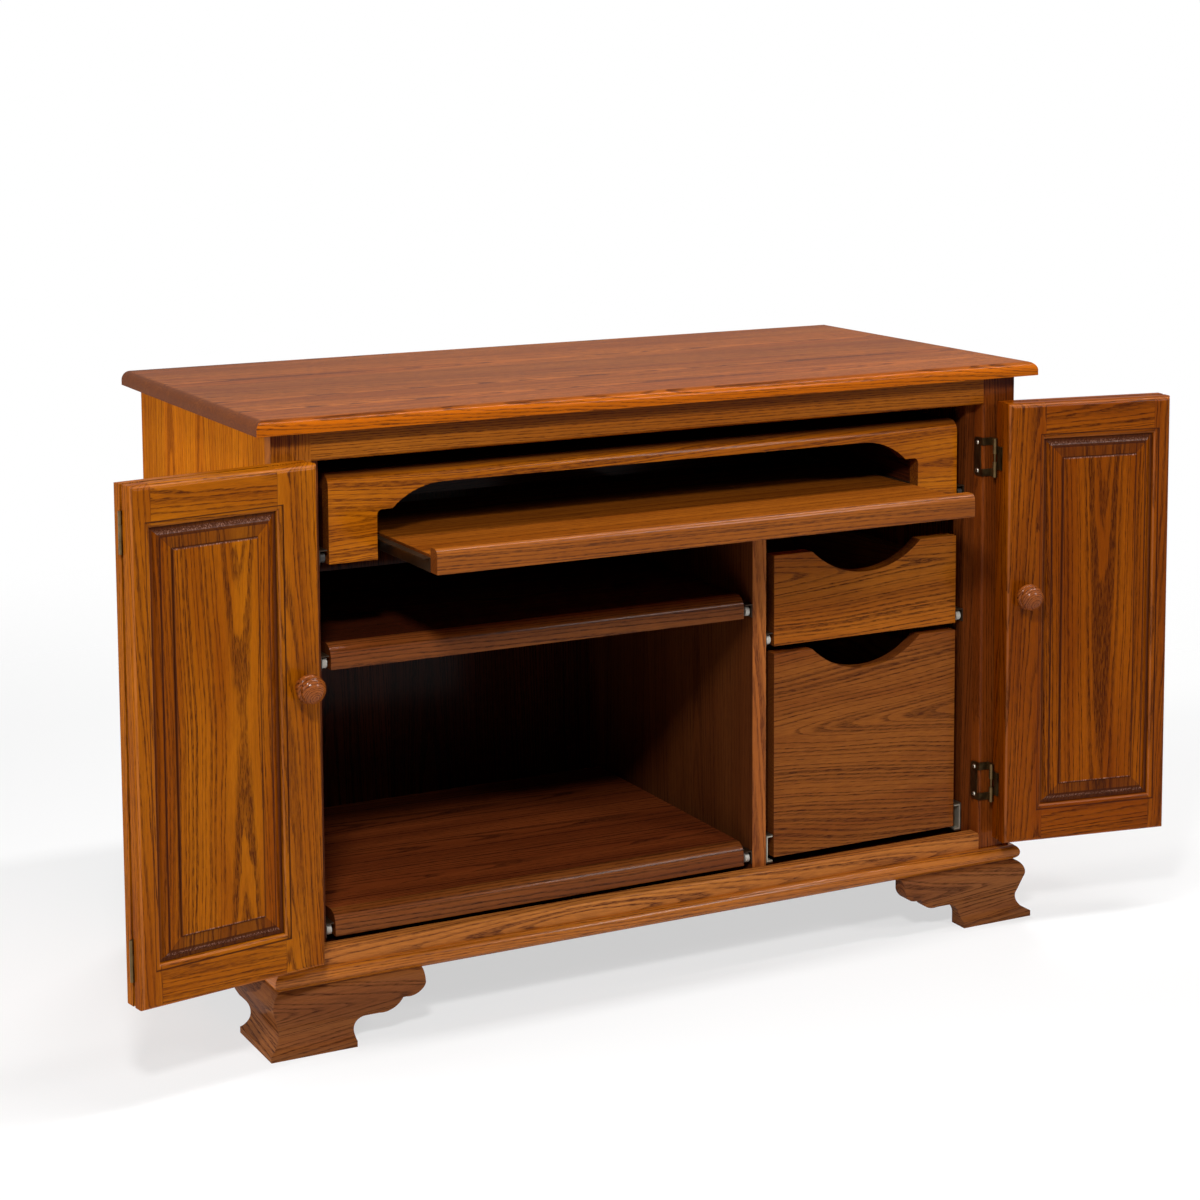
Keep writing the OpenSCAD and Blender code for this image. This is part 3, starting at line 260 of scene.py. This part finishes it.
def oak(made, colours, along, across, deep, heart=(0.0, 30.0), taper=0.03, waist=None, ring=4.3,
        seed=0.0, sway=9.0, boards=None, contrast=0.8, grain_end=None, lacquer=0.12, stain_and_shade=None,
        edge=None):
    """Stained oak, in the colours of its wood, its pores and its warmer patches. along, across
    and deep are millimetres in the board. The heart of the tree lay heart to the side and below;
    the rings are ring apart and sway; they widen along the board by taper, both ways from the
    waist if there is one. boards is the width of the glued-up boards, if there are several.
    stain_and_shade is 1 where the wood is darker: stain in seams and end grain, and painted shade
    in creases, grooves and shaded faces. edge is where a painted highlight lies, and its colour."""
    finish, tree = made
    tone = None
    if boards:
        shift = seed * SEED_SHIFT
        number = (across / boards + shift).whole()
        chance = (number + seed * SEED_CHANCE).draw(1)
        tone, far, aside = [tree.add("SeparateColor", None, {0: chance}, n) for n in range(3)]
        across = across - (number + 0.5 - shift) * boards + (aside - 0.5) * boards * BOARD_SHIFT
        along = along + far * BOARD_ALONG
    grow = along * taper
    if waist is not None:
        off = along - waist
        grow = (off * off + WAIST_ROUND ** 2) ** 0.5 * taper
    along = along + seed * SEED_ALONG
    slow = speckle(tree, along, across, deep, SWAYING, 1.0)
    ragged = speckle(tree, along, across, deep, RAGGED, 3.0, 0.6)
    side, below = across - heart[0], deep + heart[1]
    radius = (side * side + below * below) ** 0.5
    grown = radius + grow + (slow - 0.5) * sway + (ragged - 0.5) * RAGGED_MM
    lean = tree.add("TexNoise", {"noise_dimensions": "1D"},
                    {"W": grown * WIDTH_NOISE + seed, "Detail": 1.0})
    rings = grown / ring + (lean - 0.5) * WIDTHS_DIFFER
    phase = rings.math("FRACT", rings)
    year = 1 - YEARS_DIFFER + YEARS_DIFFER * rings.whole().draw()
    early = phase.ease(*EARLY_RISE) * (1 - phase.ease(*EARLY_FALL)) * year
    pores = speckle(tree, along, across, deep, PORES, 2.0, 0.6).ease(*PORE_EDGES)
    hair = speckle(tree, along, across, deep, HAIRS, 2.0, 0.55).ease(*HAIR_EDGES)
    open_wood = early * (1 - PORES_IN_RING + PORES_IN_RING * pores)
    dark = (open_wood + pores * PORES_DARK + hair * HAIRS_DARK) * contrast
    drift = speckle(tree, along, across, deep, DRIFT, 2.0).ease(*DRIFT_EDGES)
    wood, in_pores, warm = colours
    colour = dark.smaller(1.0).tint(drift.tint(wood, warm), in_pores)
    if tone is not None:
        colour = tree.add("VectorMath", {"operation": "SCALE"},
                          {0: colour, "Scale": BOARD_DARKEST + tone * BOARD_SPREAD})
    if grain_end:
        end = facing(tree, grain_end).ease(0.04, 0.4)
        stripe = speckle(tree, along * 0.4, across, deep, END_PORES, 2.0, 0.6).ease(0.4, 0.62)
        colour = (end * (0.66 + 0.34 * stripe)).tint(colour, END_STAIN)
    if stain_and_shade is not None:
        # Darker where stain gathers and where shade is painted.
        colour = (stain_and_shade * DARKENING_SHARE).tint(colour, DARK_STAIN_AND_SHADE)
    # A painted highlight, in a lighter colour.
    if edge is not None:
        highlight_mask, highlight_colour = edge
        colour = (highlight_mask * (1 - dark * 0.6)).tint(colour, highlight_colour)
    bump = tree.add("Bump", None, {"Strength": 0.3, "Distance": 0.0003, "Height": 1 - dark})
    surface = tree.add("BsdfPrincipled", None, {
        "Base Color": colour, "Roughness": 0.42 + dark * 0.2, "Normal": bump,
        "Specular IOR Level": 0.0, "Coat Weight": lacquer, "Coat Roughness": 0.16, "Coat IOR": 1.5})
    tree.add("OutputMaterial", None, {"Surface": surface})
    return finish


def board(name, colours, along, face, start=(0.0, 0.0, 0.0), painted_dark_along=None, highlight_along=None, **how):
    """Stained oak for a straight board, from its grain's axis and its face's axis. Painted shade
    darkens the faces that look along painted_dark_along, and a painted highlight lightens those
    that look along highlight_along."""
    made = new_finish(name)
    # Painted shade on the faces that look along the given axis.
    if painted_dark_along:
        how["stain_and_shade"] = facing(made[1], painted_dark_along).ease(*LOOKS_ALONG) * 0.9
    # A painted highlight on the faces that look along the given axis.
    if highlight_along:
        how["edge"] = facing(made[1], highlight_along).ease(*LOOKS_ALONG), EDGE_HIGHLIGHT
    side = Vector(face).cross(Vector(along))
    wires = [measure(made[1], axis, at) for axis, at in zip((along, side, face), start)]
    return oak(made, colours, *wires, grain_end=tuple(along), **how)


def wear(finish, *names):
    """Gives a finish to CAD nodes."""
    for name in names:
        slots = nodes[name].data.materials
        slots.clear()
        slots.append(finish)


X, Y, Z = (1, 0, 0), (0, 1, 0), (0, 0, 1)
TOP = stain(156, 84, 22), stain(78, 34, 4), stain(138, 68, 14)
CLEAT = stain(157, 87, 20), stain(92, 42, 6), stain(146, 76, 14)
# Its front and back edges are lightened: a painted highlight.
wear(board("oak_top_boards", TOP, X, Z, (0, -60, 762), boards=104, highlight_along=Y, seed=1.0, ring=2.9,
           sway=16.0, contrast=1.1, lacquer=0.14), "top_panel")
wear(board("oak_cleats", CLEAT, Y, Z, (0, 490, 740), seed=2.0), "top_cleats")


# The case: glued-up oak sides with upright grain, a plywood back let in between them, a
# bottom panel and a partition housed behind a face frame of stiles and rails.
SIDE = stain(198, 112, 12), stain(116, 54, 4), stain(178, 94, 8)
# The parts inside the case and in the work surface take a colour far darker than their oak: painted
# shade.
SHADED_INNER = stain(76, 32, 13), stain(38, 15, 6), stain(64, 26, 10)
# The partition takes a light colour, painted light where the tray's shadow falls on its front edge.
LIT_PARTITION = stain(190, 112, 50), stain(112, 58, 28), stain(172, 96, 40)
FRAME = stain(174, 100, 24), stain(92, 42, 10), stain(154, 82, 16)
# The right stile takes a darker copy of the frame's colours: painted shade.
SHADED_RIGHT_STILE = stain(132, 64, 18), stain(66, 28, 8), stain(112, 50, 12)
BOTTOM_RAIL = stain(196, 122, 54), stain(96, 50, 26), stain(174, 102, 42)
# The slide posts take a darker colour than the frame: painted shade.
SHADED_POST = stain(112, 54, 18), stain(60, 26, 8), stain(96, 44, 14)
wear(board("oak_left_boards", SIDE, Z, X, (0, 20, -526), boards=78, seed=3.0, lacquer=0.03),
     "left_side")
wear(board("oak_right_boards", SIDE, Z, X, (0, 0, 526), boards=82, seed=4.0), "right_side")
wear(board("oak_back_veneer", SHADED_INNER, Z, Y, (0, 0, 300), boards=330, seed=5.0, contrast=1.0),
     "back_panel")
wear(board("oak_bottom_boards", SHADED_INNER, X, Z, (0, 40, 116), boards=120, seed=6.0), "bottom_panel")
# Painted shade darkens its faces inside the bays.
wear(board("oak_partition_boards", LIT_PARTITION, Z, X, (0, 30, 142), painted_dark_along=X, boards=130, seed=7.0),
     "partition")
wear(board("oak_left_stile_board", FRAME, Z, Y, (0, 490, -185), seed=8.0, heart=(-40, 12),
           taper=0.02), "left_stile")
wear(board("oak_right_stile_board", SHADED_RIGHT_STILE, Z, Y, (0, -500, -185), seed=9.0, heart=(34, 12),
           taper=0.02), "right_stile")
wear(board("oak_top_rail_board", FRAME, X, Y, (0, -722, -185), seed=10.0, heart=(26, 10),
           taper=0.01, ring=3.2), "top_rail")
wear(board("oak_bottom_rail_board", BOTTOM_RAIL, X, Y, (0, -98, -185), seed=11.0, heart=(-4, 8),
           taper=0.05, waist=-120.0, sway=16.0, ring=5.0), "bottom_rail")
wear(board("oak_post_boards", SHADED_POST, Z, Y, (0, 480, -165), seed=12.0, heart=(12, 20)),
     "slide_posts")
wear(board("oak_stretcher_board", SHADED_INNER, X, Y, (0, -720, 280), seed=13.0), "rear_stretcher")


# The base: a half-round moulding mitred round three sides under the case, and ogee bracket
# feet, each of two brackets mitred at the corner with a glue block behind.
CASE_X, FRONT_Y, REAR_Y, BASE_Z, BACK_BOARD = 526.0, -184.75, 305.25, 60, 19
SIDE_LATER = 400  # so that the side's grain doesn't repeat the front's
MOULDING = stain(184, 106, 30), stain(100, 48, 10), stain(166, 90, 24)
FOOT = stain(142, 86, 42), stain(70, 36, 20), stain(120, 68, 34)


def mitred(name, colours, back_board=None, **how):
    """Stained oak whose grain turns at the front mitres, and at the rear bracket if there is
    one."""
    made = new_finish(name)
    tree = made[1]
    x, y, z = measure(tree, X), measure(tree, Y), measure(tree, Z)
    side = abs(x) - CASE_X > FRONT_Y - y
    if back_board:
        side = side * (y < REAR_Y - back_board)
    along = side.pick(x, y + SIDE_LATER)
    deep = side.pick(y - FRONT_Y, abs(x) - CASE_X)
    return oak(made, colours, along, z - BASE_Z, deep, **how)


wear(mitred("oak_base_moulding", MOULDING, seed=14.0, heart=(24, 10), taper=0.02, lacquer=0.4),
     "base_moulding")
wear(mitred("oak_front_feet", FOOT, seed=15.0, heart=(-6, 7), taper=0.09, sway=16.0, ring=5.2),
     "front_left_foot", "front_right_foot")
wear(mitred("oak_rear_feet", FOOT, BACK_BOARD, seed=16.0, heart=(-6, 7), taper=0.09, sway=16.0,
            ring=5.2), "rear_left_foot", "rear_right_foot")


# The slides: bent steel channels, coated dark bronze, screwed to the posts and the partition,
# and runners on the moving boards, with nylon rollers on steel rivets. The file drawer's slides
# are dark steel in the case, and zinc-plated on the drawer.
def cloud(tree, scale, detail=3.0):
    """Noise that runs alike in every direction."""
    place = tree.add("TexCoord", out="Object")
    return tree.add("TexNoise", None, {"Vector": place, "Scale": scale, "Detail": detail})


def plain(name, colour, grain, metallic, specular):
    """A coated or moulded surface with a faint unevenness of colour and gloss."""
    finish, tree = new_finish(name)
    uneven = cloud(tree, grain).ease(0.3, 0.7)
    peel = cloud(tree, 900.0, 1.0)
    dim = tuple(v * 0.8 for v in colour[:3]) + (1.0,)
    surface = tree.add("BsdfPrincipled", None, {
        "Base Color": uneven.tint(dim, colour), "Roughness": 0.32 + uneven * 0.14,
        "Normal": tree.add("Bump", None, {"Strength": 0.12, "Distance": 0.0002, "Height": peel}),
        "Metallic": metallic, "Specular IOR Level": specular})
    tree.add("OutputMaterial", None, {"Surface": surface})
    return finish


wear(plain("slide_bronze", stain(58, 42, 28), 60.0, 0.45, 0.3),
     "roller_tracks", "unit_slides", "tray_runners", "printer_shelf_runners",
     "bottom_shelf_runners", "upper_drawer_runners")
wear(plain("slide_steel", stain(70, 58, 44), 60.0, 0.5, 0.4), "file_tracks")
wear(plain("slide_zinc", stain(184, 176, 158), 60.0, 0.6, 0.5),
     "file_drawer_members", "file_slide_middles")
wear(plain("nylon", stain(200, 196, 186), 90.0, 0.0, 0.4), "unit_rollers")

# The rollers are off-white nylon. Those high up, which carry the work surface, are painted near
# black: painted shade.
SHADE_ABOVE = 520
WHITE_NYLON = stain(196, 192, 182), stain(146, 142, 132)
NYLON_IN_SHADE = stain(40, 36, 32), stain(56, 50, 44)
nylon, tree = new_finish("nylon_with_painted_shade")
high = measure(tree, Z, SHADE_ABOVE).ease(-1.0, 1.0)
uneven = cloud(tree, 90.0)
clean, worn = [high.tint(low, top) for low, top in zip(WHITE_NYLON, NYLON_IN_SHADE)]
surface = tree.add("BsdfPrincipled", None, {
    "Base Color": (uneven.ease(0.3, 0.7) * 0.3).tint(clean, worn),
    "Roughness": 0.34 + uneven * 0.14, "Specular IOR Level": 0.4})
tree.add("OutputMaterial", None, {"Surface": surface})
wear(nylon, "cabinet_rollers")


# The doors: two pairs of folding leaves, each a cope-and-stick frame with a raised panel
# loose in its grooves, so the stiles' grain stands upright and the rails' lies level.
TILT = math.radians(10)
PIN_X, PIN_Y, EDGE = 487.5, -196.75, 4.0
LEAF_W, LEAF_Z, LEAF_H = 239.5, 116.0, 596.0
WIDE, NARROW, RAIL_HIGH, RAIL_LOW, BEAD = 54.0, 25.0, 49.5, 50.5, 7.0
PANEL_W, PANEL_H = LEAF_W - WIDE - NARROW, LEAF_H - RAIL_HIGH - RAIL_LOW
MIDDLE_U, MIDDLE_Z = WIDE + PANEL_W / 2, RAIL_LOW + PANEL_H / 2
ROLL_MIDDLE, ROLL_END, BORDER = 6.5, 11.5, 26.0
OTHER_RAIL, OTHER_STILE = 411, 733  # so that the two rails, and the two stiles, differ
LEFT_DOOR = stain(172, 96, 8), stain(82, 36, 6), stain(138, 66, 2)
# The right pair takes a darker copy of the left pair's colours: painted shade.
SHADED_RIGHT_DOOR = stain(148, 74, 4), stain(68, 26, 2), stain(120, 52, 1)
# The colours of the painted highlights on the panels' rolls and on the frames' arrises.
ROLL_HIGHLIGHT, ARRIS_HIGHLIGHT = stain(186, 136, 112), stain(196, 122, 70)
# How the darkening (painted shade in the groove and the quirk, dark stain in the seams) and the
# painted highlights on the roll and the step fade beside a line of the moulding: fully within the
# first distance in millimetres, and no longer beyond the second.
IN_GROOVE, IN_QUIRK, IN_SEAM = (0.5, 7.0), (0.3, 1.2), (0.1, 0.5)
ON_ROLL, ON_STEP, STEP_RISE = (0.5, 3.5), (0.3, 1.2), 1.2
SEAM_SHARE, ARRIS_HIGHLIGHT_SHARE, HIGHLIGHT_DASH_SCALE = 0.5, 0.3, (0.02, 0.75)
# The arris is what looks neither straight out of the leaf nor level with it; a painted highlight
# lightens it.
ARRIS_FROM, ARRIS_TO = (0.4, 0.65), (0.75, 0.9)


def leaf_axes(side):
    """The axes across and through a folded-back pair, on the left (-1) or the right (1)."""
    return (side * math.cos(TILT), -math.sin(TILT), 0), (side * math.sin(TILT), math.cos(TILT), 0)


def leaf_measures(tree, side, depth, first=0.0, low=0.0):
    """Millimetres across, through and up a leaf, from a point that lies first from its edge,
    low above its foot, and depth behind the hinges' pin."""
    across, through = leaf_axes(side)
    pin = Vector((side * PIN_X, PIN_Y, 0))
    return (measure(tree, across, pin.dot(Vector(across)) + EDGE + first),
            measure(tree, through, pin.dot(Vector(through)) + depth),
            measure(tree, Z, LEAF_Z + low))


def leaf_frame(name, colours, side, depth, **how):
    """Stiles and rails, with painted shade in the bead's quirk, dark stain in the joints' seams,
    and a painted highlight on the arrises.
    """
    made = new_finish(name)
    tree = made[1]
    u, n, z = leaf_measures(tree, side, depth)
    far = u > LEAF_W - NARROW
    upright = far + (u < WIDE)
    high = z > LEAF_H / 2
    in_stile = u - far.pick(WIDE / 2, LEAF_W - NARROW / 2)
    in_rail = z - high.pick(RAIL_LOW / 2, LEAF_H - RAIL_HIGH / 2)
    along = upright.pick(u + high * OTHER_RAIL, z + far * OTHER_STILE)
    beside = (abs(u - MIDDLE_U) - PANEL_W / 2).larger(abs(z - MIDDLE_Z) - PANEL_H / 2)
    # Painted shade in the bead's quirk; the joints' seams are dark stain.
    quirk = 1 - abs(beside - BEAD).ease(*IN_QUIRK)
    seam = abs(u - WIDE).smaller(abs(u - LEAF_W + NARROW))
    stain_and_shade = quirk.larger((1 - seam.ease(*IN_SEAM)) * SEAM_SHARE)
    # A painted highlight lightens the arrises.
    flat = facing(tree, leaf_axes(side)[1])
    arris_highlight = flat.ease(*ARRIS_FROM) * (1 - flat.ease(*ARRIS_TO)) * ARRIS_HIGHLIGHT_SHARE
    return oak(made, colours, along, upright.pick(in_rail, in_stile), n, stain_and_shade=stain_and_shade,
               edge=(arris_highlight, ARRIS_HIGHLIGHT), **how)


def leaf_panel(name, colours, side, depth, middle, **how):
    """A raised panel, darker on its border with painted shade and end-grain stain, and with painted
    highlights on its roll. middle is where along the leaf the heart of its board lay."""
    made = new_finish(name)
    tree = made[1]
    u, n, z = leaf_measures(tree, side, depth, middle)
    in_u = PANEL_W / 2 - abs(u - (MIDDLE_U - middle))
    in_z = PANEL_H / 2 - abs(z - MIDDLE_Z)
    inside = in_u.smaller(in_z)
    # Painted shade in the groove beside the frame, and in the creases at the roll's end and at the
    # field's step.
    stain_and_shade = 1 - inside.ease(*IN_GROOVE)
    for step, width in ((ROLL_END, 1.6), (BORDER, 2.2)):
        stain_and_shade = stain_and_shade.larger(1 - abs(inside - step).ease(0.5, width))
    # Above and below the field the border is cut across the grain. It is darker there, as end grain
    # that drinks more stain and as painted shade, and painted highlights lie in dashes on its roll
    # and beside the field.
    cut_across = in_z < in_u
    on_border = 1 - inside.ease(BORDER - 1, BORDER)
    end_stain_and_shade = 0.95 - inside.ease(ROLL_END, ROLL_END + 1) * 0.4
    stain_and_shade = stain_and_shade.larger(cut_across * on_border * end_stain_and_shade)
    highlight_dashes = speckle(tree, z, u, n, HIGHLIGHT_DASH_SCALE, 2.0, 0.7).ease(0.5, 0.62)
    roll = abs(inside - ROLL_MIDDLE).ease(*ON_ROLL)
    last_step = abs(inside - BORDER - STEP_RISE).ease(*ON_STEP)
    painted_highlight = (1 - roll.smaller(last_step)) * cut_across * (0.05 + highlight_dashes * 0.6)
    return oak(made, colours, z, u, n, grain_end=Z, stain_and_shade=stain_and_shade, edge=(painted_highlight, ROLL_HIGHLIGHT), **how)


for side, word, colours, seed, figure in (
        (-1, "left", LEFT_DOOR, 20.0, {"heart": (-24, 6), "taper": -0.03, "waist": 300.0}),
        (1, "right", SHADED_RIGHT_DOOR, 30.0, {"heart": (10, 9), "taper": -0.02, "waist": -200.0})):
    for leaf, depth, more in (("hinge", -10.0, 0.0), ("knob", 12.0, 4.0)):
        piece = f"{word}_{leaf}_leaf"
        wear(leaf_frame(f"oak_{piece}_frame", colours, side, depth, seed=seed + more,
                        heart=(22, 9), ring=3.7), f"{piece}_frame")
        wear(leaf_panel(f"oak_{piece}_panel", colours, side, depth, 130.0, seed=seed + more + 1,
                        ring=4.6, lacquer=0.09, **figure), f"{piece}_panel")


# The knobs are turned from oak with the grain running into the door, and screwed on from
# behind. Rings show on their faces.
KNOB = stain(150, 80, 30), stain(70, 30, 10), stain(132, 64, 20)
KNOB_IN, KNOB_UP = 25, 339
for side, word, seed in ((-1, "left", 41.0), (1, "right", 45.0)):
    made = new_finish(f"oak_{word}_knob_wood")
    u, n, z = leaf_measures(made[1], side, 0.0, KNOB_IN, KNOB_UP)
    wear(oak(made, KNOB, n, u, z, heart=(2, 8), ring=2.7, taper=0.1, sway=3.0, lacquer=0.3,
             seed=seed), f"{word}_knob")


# The hinges are stamped from brass and darkened. The cabinet hinges' fixed wings wrap the
# stiles and are held by Phillips screws; the fold hinges lie between the leaves.
wear(plain("dark_brass", stain(108, 88, 58), 130.0, 1.0, 0.5),
     "left_hinge_leaf_wings", "left_knob_leaf_wings", "right_hinge_leaf_wings",
     "right_knob_leaf_wings", "frame_hinge_wings")
SCREW_Y, SCREW_MIDDLE_Z, HINGE_OFF, SCREW_OFF = -173.75, 414.0, 222.0, 19.0
CROSS_HALF, CROSS_REACH = 0.55, 1.9
# The screws' cross recesses are painted dark over a bump: painted shade.
PLATE, CROSS_SHADE = stain(214, 206, 188), stain(40, 32, 24)
screw_finish, tree = new_finish("screw_plate")
off_y = abs(measure(tree, Y, SCREW_Y))
off_z = abs(abs(abs(measure(tree, Z, SCREW_MIDDLE_Z)) - HINGE_OFF) - SCREW_OFF)
recess = ((off_y < CROSS_HALF) * (off_z < CROSS_REACH)
          + (off_z < CROSS_HALF) * (off_y < CROSS_REACH))
surface = tree.add("BsdfPrincipled", None, {
    "Base Color": recess.smaller(1.0).tint(PLATE, CROSS_SHADE),
    "Roughness": 0.3 + recess * 0.3, "Metallic": 1.0,
    "Normal": tree.add("Bump", None, {"Strength": 0.6, "Distance": 0.0006, "Height": 1 - recess})})
tree.add("OutputMaterial", None, {"Surface": surface})
wear(screw_finish, "hinge_screws")


# The pull-out work surface: a board with an arched apron rounded along its top edge, outer
# sides on slides, and inner sides that carry the keyboard tray.
APRON = stain(192, 108, 12), stain(104, 48, 6), stain(170, 90, 8)
# The work surface's board, sides and back take the dark inside colour: painted shade.
wear(board("oak_unit_top_boards", SHADED_INNER, X, Z, (0, 30, 686), boards=110, seed=50.0), "unit_top")
# Its faces that look up and down are darkened: painted shade under the arch and a painted dark
# reflection on its rounded top.
wear(board("oak_apron_board", APRON, X, Y, (-330, -640, -165), seed=51.0, heart=(10, 8),
           taper=-0.05, waist=60.0, painted_dark_along=Z, sway=14.0, ring=5.4, lacquer=0.18), "unit_apron")
wear(board("oak_unit_side_boards", SHADED_INNER, Y, X, (0, 630, 400), seed=52.0), "unit_sides")
wear(board("oak_unit_back_board", SHADED_INNER, X, Y, (0, -630, 230), seed=53.0), "unit_back")


# The keyboard tray: a board with a raised lip rail along its front, rounded over its nose.
# It is glued up from lengthwise boards like the top.
TRAY = stain(154, 84, 20), stain(82, 38, 10), stain(136, 70, 14)
wear(board("oak_tray_boards", TRAY, X, Z, (0, 60, 606), boards=120, seed=54.0), "tray_board")
wear(board("oak_lip_board", TRAY, X, Y, (0, -600, -312), seed=55.0, heart=(20, 9), taper=0.01,
           lacquer=0.3), "tray_lip_rail")


# The shelves: glued-up boards with cleats under their ends and rounded nosings along the
# front, on roller slides in the left bay.
NOSING = stain(136, 76, 30), stain(66, 32, 14), stain(116, 58, 22)
SHELF = stain(130, 62, 26), stain(56, 24, 12), stain(108, 48, 20)
# The printer shelf's board takes the dark inside colour: painted shade.
wear(board("oak_printer_shelf_boards", SHADED_INNER, X, Z, (0, 40, 481), boards=116, seed=60.0),
     "printer_shelf_board")
wear(board("oak_bottom_shelf_boards", SHELF, X, Z, (0, 0, 154), boards=112, seed=61.0),
     "bottom_shelf_board")
wear(board("oak_printer_nosing_board", NOSING, X, Y, (0, -470, -165), seed=62.0, heart=(20, 9),
           taper=0.01, lacquer=0.2), "printer_shelf_nosing")
wear(board("oak_bottom_nosing_board", NOSING, X, Y, (0, -140, -165), seed=63.0, heart=(18, 9),
           taper=0.01, lacquer=0.2), "bottom_shelf_nosing")


# The drawers: fronts with a scoop for the hand, each one wide board with level grain, and
# plain boxes behind with thin bottoms.
# The upper drawer's front takes a lighter colour than the file drawer's: painted light where the
# tray's shadow falls on it.
LIT_UPPER_FRONT = stain(178, 102, 26), stain(84, 40, 12), stain(156, 82, 18)
FILE_FRONT = stain(142, 80, 28), stain(70, 32, 12), stain(122, 62, 20)
BOX = stain(176, 120, 66), stain(120, 74, 36), stain(160, 104, 54)
wear(board("oak_upper_front_board", LIT_UPPER_FRONT, X, Y, (306, -470, -165), seed=64.0,
           heart=(-30, 9), taper=0.05, sway=26.0, ring=6.2), "upper_drawer_front")
wear(board("oak_file_front_board", FILE_FRONT, X, Y, (306, -290, -165), seed=65.0, heart=(-4, 8),
           taper=-0.1, waist=-160.0, sway=26.0, ring=6.2), "file_drawer_front")
wear(board("oak_drawer_box_boards", BOX, Y, Z, (0, -300, 400), seed=66.0, contrast=0.7),
     "upper_drawer_box", "file_drawer_box")
